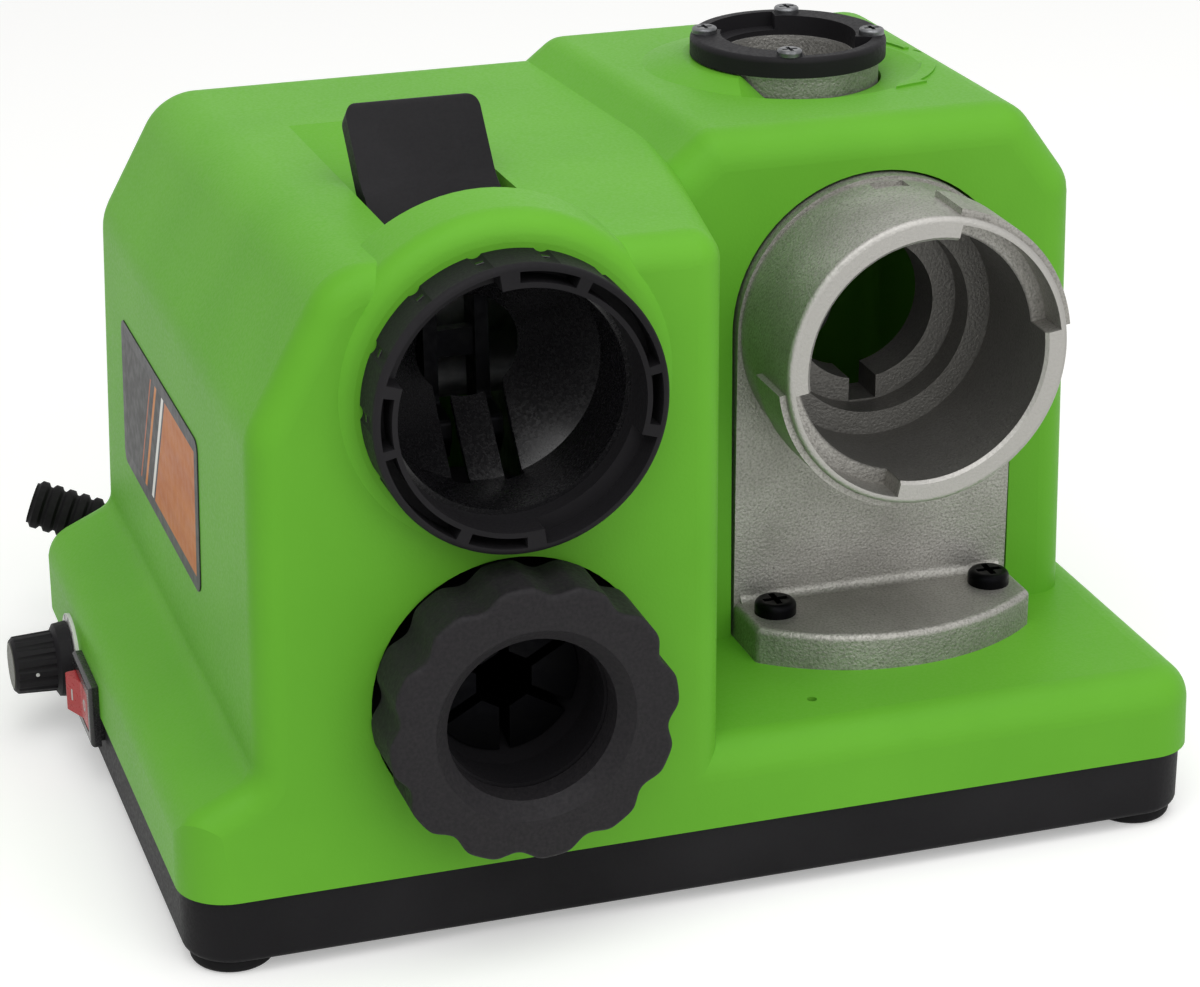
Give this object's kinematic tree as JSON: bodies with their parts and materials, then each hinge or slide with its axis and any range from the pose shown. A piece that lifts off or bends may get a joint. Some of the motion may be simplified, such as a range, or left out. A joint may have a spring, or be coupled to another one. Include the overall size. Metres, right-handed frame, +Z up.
{
  "type": "drill bit sharpener",
  "caption": "Bench-top drill bit sharpener with ports that set, grind and split a drill point, a parked collet chuck, an alignment lever, a rocker switch and a speed knob.",
  "frame": {"origin": "middle of the overall box, on the surface that the feet stand on", "axes": "+X to the machine's right, +Y to its back, +Z up"},
  "size_m": [0.2446, 0.205, 0.1632],
  "materials": {
    "base_tray": "satin black moulding",
    "rubber_feet": "matt rubber",
    "base_screws": "zinc plated",
    "housing_shell": "fine satin moulding",
    "side_label": "printed film without text",
    "cord_gland": "soft moulding",
    "setting_ring": "satin moulding",
    "setting_cup": "polished moulding",
    "alignment_lever": "satin moulding",
    "alignment_fork": "stamped",
    "lever_pin": "ground",
    "lever_spring": "spring wire",
    "storage_socket": "satin moulding",
    "chuck_knob": "satin moulding",
    "chuck_body": "satin moulding",
    "grinding_port": "blasted casting with machined rim",
    "port_screws": "black oxide",
    "split_port_tube": "blasted casting",
    "split_port_ring": "satin moulding",
    "split_ring_screws": "black oxide",
    "motor_can": "zinc plated",
    "stator_magnets": "sintered",
    "motor_front_cap": "die cast",
    "motor_rear_cap": "moulding",
    "motor_shaft": "ground",
    "rotor_core": "laminated",
    "commutator": "turned copper",
    "brushes": "carbon",
    "front_bearing": "ground",
    "rear_bearing": "ground",
    "cooling_fan": "moulding",
    "motor_bracket": "folded sheet",
    "motor_screws": "zinc plated",
    "bracket_screws": "zinc plated",
    "grinding_wheel": "abrasive coated",
    "wheel_hub": "turned",
    "wheel_nut": "zinc plated",
    "switch_housing": "moulding",
    "switch_rocker": "red moulding",
    "dial_plate": "printed film",
    "speed_knob": "moulding",
    "speed_shaft": "turned",
    "speed_pot": "moulding",
    "pot_nut": "zinc plated",
    "control_board": "circuit board",
    "collet_jaw_1": "ground",
    "collet_jaw_2": "ground",
    "collet_jaw_3": "ground",
    "collet_jaw_4": "ground",
    "collet_jaw_5": "ground",
    "collet_jaw_6": "ground"
  },
  "bodies": {
    "machine": {"base_tray": "base_tray", "rubber_feet": "rubber_feet", "base_screws": "base_screws", "housing_shell": "housing_shell", "side_label": "side_label", "cord_gland": "cord_gland", "setting_ring": "setting_ring", "setting_cup": "setting_cup", "lever_pin": "lever_pin", "lever_spring": "lever_spring", "storage_socket": "storage_socket", "grinding_port": "grinding_port", "port_screws": "port_screws", "split_port_tube": "split_port_tube", "split_port_ring": "split_port_ring", "split_ring_screws": "split_ring_screws", "motor_can": "motor_can", "stator_magnets": "stator_magnets", "motor_front_cap": "motor_front_cap", "motor_rear_cap": "motor_rear_cap", "brushes": "brushes", "front_bearing": "front_bearing", "rear_bearing": "rear_bearing", "motor_bracket": "motor_bracket", "motor_screws": "motor_screws", "bracket_screws": "bracket_screws", "switch_housing": "switch_housing", "dial_plate": "dial_plate", "speed_pot": "speed_pot", "pot_nut": "pot_nut", "control_board": "control_board"},
    "lever": {"alignment_lever": "alignment_lever", "alignment_fork": "alignment_fork"},
    "rocker": {"switch_rocker": "switch_rocker"},
    "speed_dial": {"speed_knob": "speed_knob", "speed_shaft": "speed_shaft"},
    "chuck": {"chuck_body": "chuck_body"},
    "chuck_grip": {"chuck_knob": "chuck_knob"},
    "rotor": {"motor_shaft": "motor_shaft", "rotor_core": "rotor_core", "commutator": "commutator", "cooling_fan": "cooling_fan", "grinding_wheel": "grinding_wheel", "wheel_hub": "wheel_hub", "wheel_nut": "wheel_nut"},
    "jaw_1": {"collet_jaw_1": "collet_jaw_1"},
    "jaw_2": {"collet_jaw_2": "collet_jaw_2"},
    "jaw_3": {"collet_jaw_3": "collet_jaw_3"},
    "jaw_4": {"collet_jaw_4": "collet_jaw_4"},
    "jaw_5": {"collet_jaw_5": "collet_jaw_5"},
    "jaw_6": {"collet_jaw_6": "collet_jaw_6"}
  },
  "joints": [
    {"name": "lever_hinge", "type": "hinge", "parent": "machine", "child": "lever", "pos_m": [-0.03735, -0.04289, 0.137], "axis": [-1, 0, 0], "range_deg": [0, 15], "stiffness_Nm_per_rad": 0.35, "springref_deg": -8.59, "deforming": ["lever_spring"]},
    {"name": "rocker_hinge", "type": "hinge", "parent": "machine", "child": "rocker", "pos_m": [-0.10715, 0.01814, 0.018], "axis": [0, 0, -1], "range_deg": [0, 24]},
    {"name": "speed_turn", "type": "hinge", "parent": "machine", "child": "speed_dial", "pos_m": [-0.10885, 0.04114, 0.018], "axis": [1, 0, 0], "range_deg": [0, 300]},
    {"name": "chuck_slide", "type": "slide", "parent": "machine", "child": "chuck", "axis": [0, -1, 0], "range_m": [0, 0.075]},
    {"name": "knob_turn", "type": "hinge", "parent": "chuck", "child": "chuck_grip", "pos_m": [-0.03735, -0.08729, 0.0563], "axis": [0, -1, 0], "range_deg": [0, 360]},
    {"name": "rotor_spin", "type": "hinge", "parent": "machine", "child": "rotor", "pos_m": [0.00735, 0.02314, 0.1089], "axis": [1, 0, 0], "continuous": true},
    {"name": "jaw_1_slide", "type": "slide", "parent": "chuck", "child": "jaw_1", "axis": [-0.1961, 0.9806, 0], "range_m": [0, 0.00816]},
    {"name": "jaw_2_slide", "type": "slide", "parent": "chuck", "child": "jaw_2", "axis": [-0.0981, 0.9806, -0.1698], "range_m": [0, 0.00816]},
    {"name": "jaw_3_slide", "type": "slide", "parent": "chuck", "child": "jaw_3", "axis": [0.0981, 0.9806, -0.1698], "range_m": [0, 0.00816]},
    {"name": "jaw_4_slide", "type": "slide", "parent": "chuck", "child": "jaw_4", "axis": [0.1961, 0.9806, 0], "range_m": [0, 0.00816]},
    {"name": "jaw_5_slide", "type": "slide", "parent": "chuck", "child": "jaw_5", "axis": [0.0981, 0.9806, 0.1698], "range_m": [0, 0.00816]},
    {"name": "jaw_6_slide", "type": "slide", "parent": "chuck", "child": "jaw_6", "axis": [-0.0981, 0.9806, 0.1698], "range_m": [0, 0.00816]}
  ],
  "couplings": [
    {"joint": "jaw_1_slide", "follows": "knob_turn", "m_per_rad": 0.0012983},
    {"joint": "jaw_2_slide", "follows": "knob_turn", "m_per_rad": 0.0012983},
    {"joint": "jaw_3_slide", "follows": "knob_turn", "m_per_rad": 0.0012983},
    {"joint": "jaw_4_slide", "follows": "knob_turn", "m_per_rad": 0.0012983},
    {"joint": "jaw_5_slide", "follows": "knob_turn", "m_per_rad": 0.0012983},
    {"joint": "jaw_6_slide", "follows": "knob_turn", "m_per_rad": 0.0012983}
  ]
}
